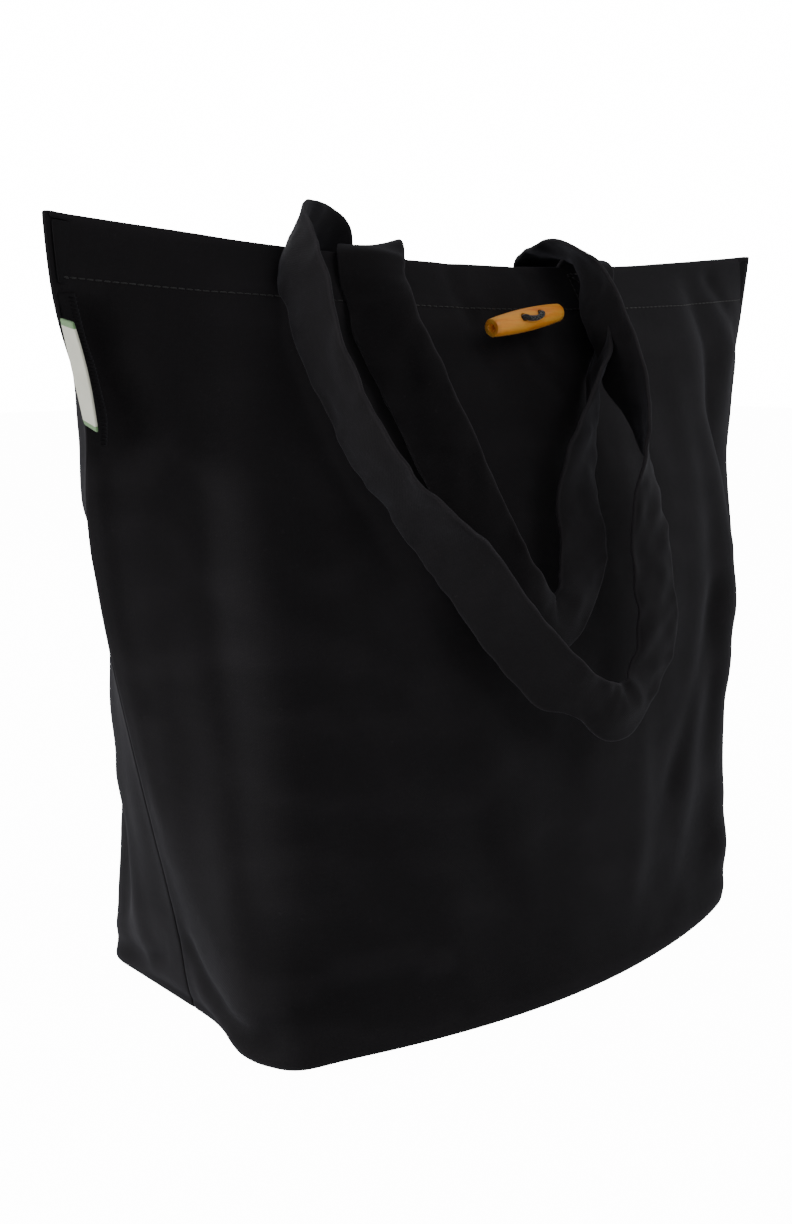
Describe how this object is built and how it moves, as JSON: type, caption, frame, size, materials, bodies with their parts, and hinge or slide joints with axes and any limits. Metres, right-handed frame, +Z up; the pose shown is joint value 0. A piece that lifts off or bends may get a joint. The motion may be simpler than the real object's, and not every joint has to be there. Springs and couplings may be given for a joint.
{
  "type": "canvas tote bag",
  "caption": "Boxed canvas tote bag with a turned hem, long webbing carry handles flopped forwards, a wooden toggle with a cord loop at the mouth, and a side label",
  "frame": {"origin": "centre of the base, on the floor", "axes": "+X from the left side seam to the right one, -Y towards the toggle side, +Z up to the mouth"},
  "size_m": [0.4637, 0.2099, 0.3793],
  "materials": {
    "canvas": "matte, plain-woven heavy cotton canvas",
    "hem": "matte, doubled canvas",
    "webbing": "matte, woven cotton webbing",
    "thread": "slightly glossy sewing thread",
    "cord": "matte braided cord",
    "toggle_wood": "satin varnished light wood",
    "label": "matte woven tape"
  },
  "bodies": {
    "bag": {"front_panel": "canvas", "back_panel": "canvas", "front_hem": "hem", "back_hem": "hem", "front_hem_stitching": "thread", "back_hem_stitching": "thread", "left_side_seam": "thread", "right_side_seam": "thread", "bottom_seam": "thread", "left_corner_seam": "thread", "right_corner_seam": "thread", "front_handle_tails": "webbing", "back_handle_tails": "webbing", "front_left_tack": "thread", "front_right_tack": "thread", "back_left_tack": "thread", "back_right_tack": "thread", "toggle_knot": "cord", "closure_loop_tack": "thread"},
    "back_handle": {"back_handle": "webbing"},
    "front_handle": {"front_handle": "webbing"},
    "toggle": {"toggle": "toggle_wood", "toggle_cord": "cord"},
    "closure_loop": {"closure_loop": "cord"},
    "side_label": {"side_label": "label"}
  },
  "joints": [
    {"name": "back_handle_lift", "type": "hinge", "parent": "bag", "child": "back_handle", "pos_m": [0, 0.00231, 0.35746], "axis": [-1, 0, 0], "range_deg": [0, 150]},
    {"name": "front_handle_lift", "type": "hinge", "parent": "bag", "child": "front_handle", "pos_m": [0, -0.03437, 0.35746], "axis": [-1, 0, 0], "range_deg": [0, 150]},
    {"name": "toggle_turn", "type": "hinge", "parent": "bag", "child": "toggle", "pos_m": [0, -0.05325, 0.3216], "axis": [0, -0.9035, 0.4287], "range_deg": [-60, 60]},
    {"name": "closure_loop_swing", "type": "hinge", "parent": "bag", "child": "closure_loop", "pos_m": [0, 0.00065, 0.345], "axis": [-1, 0, 0], "range_deg": [0, 70]},
    {"name": "side_label_flip", "type": "hinge", "parent": "bag", "child": "side_label", "pos_m": [-0.2196, -0.0186, 0.28287], "axis": [-0.142, -0.0656, 0.9877], "range_deg": [-140, 12]}
  ],
  "couplings": [
    {"joint": "front_handle_lift", "follows": "back_handle_lift", "ratio": 1}
  ]
}
